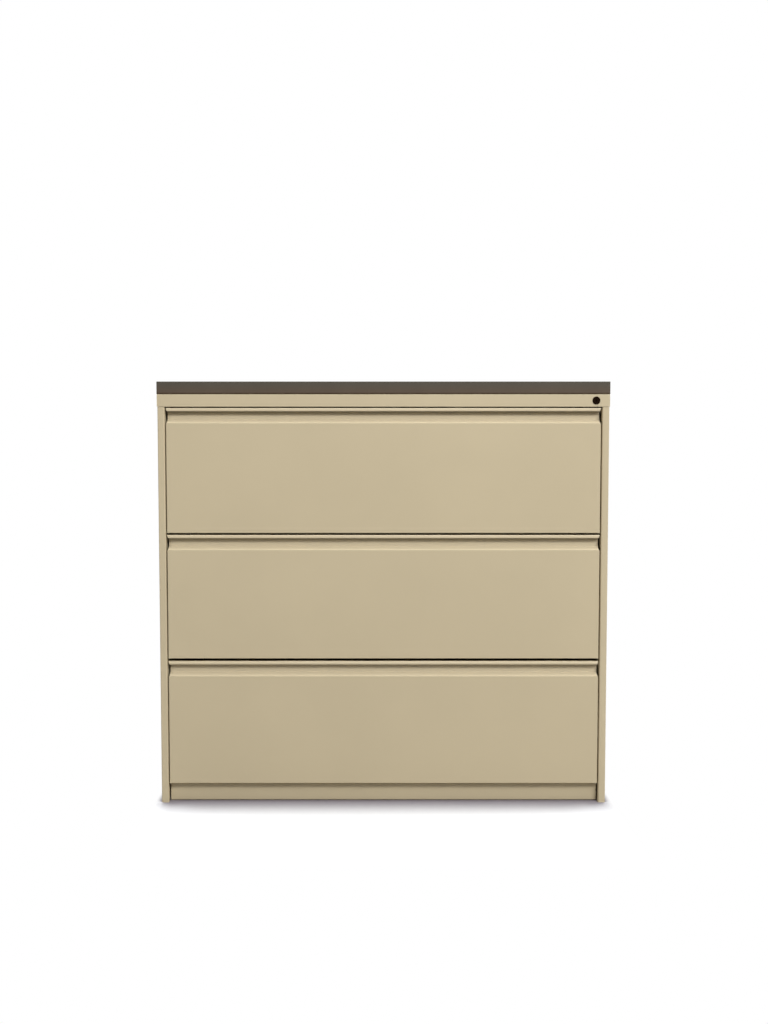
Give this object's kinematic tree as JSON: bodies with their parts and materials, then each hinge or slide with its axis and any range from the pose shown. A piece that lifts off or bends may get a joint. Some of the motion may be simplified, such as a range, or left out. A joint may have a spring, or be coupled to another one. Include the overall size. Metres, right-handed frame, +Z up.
{
  "type": "lateral filing cabinet",
  "caption": "Low wide lateral filing cabinet of beige painted steel with a dark laminate top, stacked drawers with full-width recessed pulls on telescopic slides, and a lock in the top rail.",
  "frame": {"origin": "on the floor, in the middle of the cabinet's overall width and depth", "axes": "+X to the right seen from the front, +Y towards the back, +Z up; drawers open towards -Y"},
  "size_m": [1.0696, 0.4588, 1.0077],
  "materials": {
    "beige_paint": "fine-textured satin powder coat, warm beige",
    "inner_steel": "thinner satin coat of the same beige on the inner sheets",
    "laminate": "dark grey-brown matt laminate on particle board",
    "zinc_steel": "bright zinc-plated steel",
    "black_lock": "black satin lock",
    "counterweight": "bare dark steel bar"
  },
  "bodies": {
    "case": {"laminate_top": "laminate", "top_cap": "beige_paint", "left_side_panel": "beige_paint", "right_side_panel": "beige_paint", "back_panel": "beige_paint", "bottom_pan": "beige_paint", "base_rail": "beige_paint", "counterweight": "counterweight", "left_front_upright": "inner_steel", "left_rear_upright": "inner_steel", "right_front_upright": "inner_steel", "right_rear_upright": "inner_steel", "lock_barrel": "black_lock", "lock_nut": "zinc_steel", "drawer_1_slide_cabinet_left": "zinc_steel", "drawer_1_slide_cabinet_right": "zinc_steel", "drawer_2_slide_cabinet_left": "zinc_steel", "drawer_2_slide_cabinet_right": "zinc_steel", "drawer_3_slide_cabinet_left": "zinc_steel", "drawer_3_slide_cabinet_right": "zinc_steel"},
    "lock": {"lock_plug": "black_lock", "lock_cam": "zinc_steel"},
    "lock_bar": {"lock_bar": "zinc_steel"},
    "drawer_1": {"drawer_1_front": "beige_paint", "drawer_1_front_liner": "inner_steel", "drawer_1_tray": "inner_steel", "drawer_1_hanging_bars": "zinc_steel", "drawer_1_striker": "zinc_steel", "drawer_1_slide_drawer_left": "zinc_steel", "drawer_1_slide_drawer_right": "zinc_steel"},
    "drawer_1_middle_members": {"drawer_1_slide_middle_left": "zinc_steel", "drawer_1_slide_middle_right": "zinc_steel"},
    "drawer_1_outer_cages": {"drawer_1_outer_ball_cages": "zinc_steel"},
    "drawer_1_inner_cages": {"drawer_1_inner_ball_cages": "zinc_steel"},
    "drawer_2": {"drawer_2_front": "beige_paint", "drawer_2_front_liner": "inner_steel", "drawer_2_tray": "inner_steel", "drawer_2_hanging_bars": "zinc_steel", "drawer_2_striker": "zinc_steel", "drawer_2_slide_drawer_left": "zinc_steel", "drawer_2_slide_drawer_right": "zinc_steel"},
    "drawer_2_middle_members": {"drawer_2_slide_middle_left": "zinc_steel", "drawer_2_slide_middle_right": "zinc_steel"},
    "drawer_2_outer_cages": {"drawer_2_outer_ball_cages": "zinc_steel"},
    "drawer_2_inner_cages": {"drawer_2_inner_ball_cages": "zinc_steel"},
    "drawer_3": {"drawer_3_front": "beige_paint", "drawer_3_front_liner": "inner_steel", "drawer_3_tray": "inner_steel", "drawer_3_hanging_bars": "zinc_steel", "drawer_3_striker": "zinc_steel", "drawer_3_slide_drawer_left": "zinc_steel", "drawer_3_slide_drawer_right": "zinc_steel"},
    "drawer_3_middle_members": {"drawer_3_slide_middle_left": "zinc_steel", "drawer_3_slide_middle_right": "zinc_steel"},
    "drawer_3_outer_cages": {"drawer_3_outer_ball_cages": "zinc_steel"},
    "drawer_3_inner_cages": {"drawer_3_inner_ball_cages": "zinc_steel"},
    "glide_front_left": {"glide_front_left": "zinc_steel"},
    "glide_front_right": {"glide_front_right": "zinc_steel"},
    "glide_rear_left": {"glide_rear_left": "zinc_steel"},
    "glide_rear_right": {"glide_rear_right": "zinc_steel"}
  },
  "joints": [
    {"name": "drawer_1_slide", "type": "slide", "parent": "case", "child": "drawer_1", "axis": [0, -1, 0], "range_m": [0, 0.39]},
    {"name": "drawer_1_middle_members_slide", "type": "slide", "parent": "case", "child": "drawer_1_middle_members", "axis": [0, -1, 0], "range_m": [0, 0.195]},
    {"name": "drawer_1_outer_cages_slide", "type": "slide", "parent": "case", "child": "drawer_1_outer_cages", "axis": [0, -1, 0], "range_m": [0, 0.0975]},
    {"name": "drawer_1_inner_cages_slide", "type": "slide", "parent": "case", "child": "drawer_1_inner_cages", "axis": [0, -1, 0], "range_m": [0, 0.2925]},
    {"name": "drawer_2_slide", "type": "slide", "parent": "case", "child": "drawer_2", "axis": [0, -1, 0], "range_m": [0, 0.39]},
    {"name": "drawer_2_middle_members_slide", "type": "slide", "parent": "case", "child": "drawer_2_middle_members", "axis": [0, -1, 0], "range_m": [0, 0.195]},
    {"name": "drawer_2_outer_cages_slide", "type": "slide", "parent": "case", "child": "drawer_2_outer_cages", "axis": [0, -1, 0], "range_m": [0, 0.0975]},
    {"name": "drawer_2_inner_cages_slide", "type": "slide", "parent": "case", "child": "drawer_2_inner_cages", "axis": [0, -1, 0], "range_m": [0, 0.2925]},
    {"name": "drawer_3_slide", "type": "slide", "parent": "case", "child": "drawer_3", "axis": [0, -1, 0], "range_m": [0, 0.39]},
    {"name": "drawer_3_middle_members_slide", "type": "slide", "parent": "case", "child": "drawer_3_middle_members", "axis": [0, -1, 0], "range_m": [0, 0.195]},
    {"name": "drawer_3_outer_cages_slide", "type": "slide", "parent": "case", "child": "drawer_3_outer_cages", "axis": [0, -1, 0], "range_m": [0, 0.0975]},
    {"name": "drawer_3_inner_cages_slide", "type": "slide", "parent": "case", "child": "drawer_3_inner_cages", "axis": [0, -1, 0], "range_m": [0, 0.2925]},
    {"name": "lock_bar_slide", "type": "slide", "parent": "case", "child": "lock_bar", "axis": [0, 0, 1], "range_m": [0, 0.01131]},
    {"name": "lock_turn", "type": "hinge", "parent": "case", "child": "lock", "pos_m": [0.5019, -0.22785, 0.9632], "axis": [0, -1, 0], "range_deg": [0, 90]},
    {"name": "glide_front_left_adjust", "type": "slide", "parent": "case", "child": "glide_front_left", "axis": [0, 0, -1], "range_m": [0, 0.015]},
    {"name": "glide_front_right_adjust", "type": "slide", "parent": "case", "child": "glide_front_right", "axis": [0, 0, -1], "range_m": [0, 0.015]},
    {"name": "glide_rear_left_adjust", "type": "slide", "parent": "case", "child": "glide_rear_left", "axis": [0, 0, -1], "range_m": [0, 0.015]},
    {"name": "glide_rear_right_adjust", "type": "slide", "parent": "case", "child": "glide_rear_right", "axis": [0, 0, -1], "range_m": [0, 0.015]}
  ],
  "couplings": [
    {"joint": "drawer_1_middle_members_slide", "follows": "drawer_1_slide", "ratio": 0.5},
    {"joint": "drawer_1_outer_cages_slide", "follows": "drawer_1_slide", "ratio": 0.25},
    {"joint": "drawer_1_inner_cages_slide", "follows": "drawer_1_slide", "ratio": 0.75},
    {"joint": "drawer_2_middle_members_slide", "follows": "drawer_2_slide", "ratio": 0.5},
    {"joint": "drawer_2_outer_cages_slide", "follows": "drawer_2_slide", "ratio": 0.25},
    {"joint": "drawer_2_inner_cages_slide", "follows": "drawer_2_slide", "ratio": 0.75},
    {"joint": "drawer_3_middle_members_slide", "follows": "drawer_3_slide", "ratio": 0.5},
    {"joint": "drawer_3_outer_cages_slide", "follows": "drawer_3_slide", "ratio": 0.25},
    {"joint": "drawer_3_inner_cages_slide", "follows": "drawer_3_slide", "ratio": 0.75},
    {"joint": "lock_turn", "follows": "lock_bar_slide", "rad_per_m": 138.88}
  ]
}
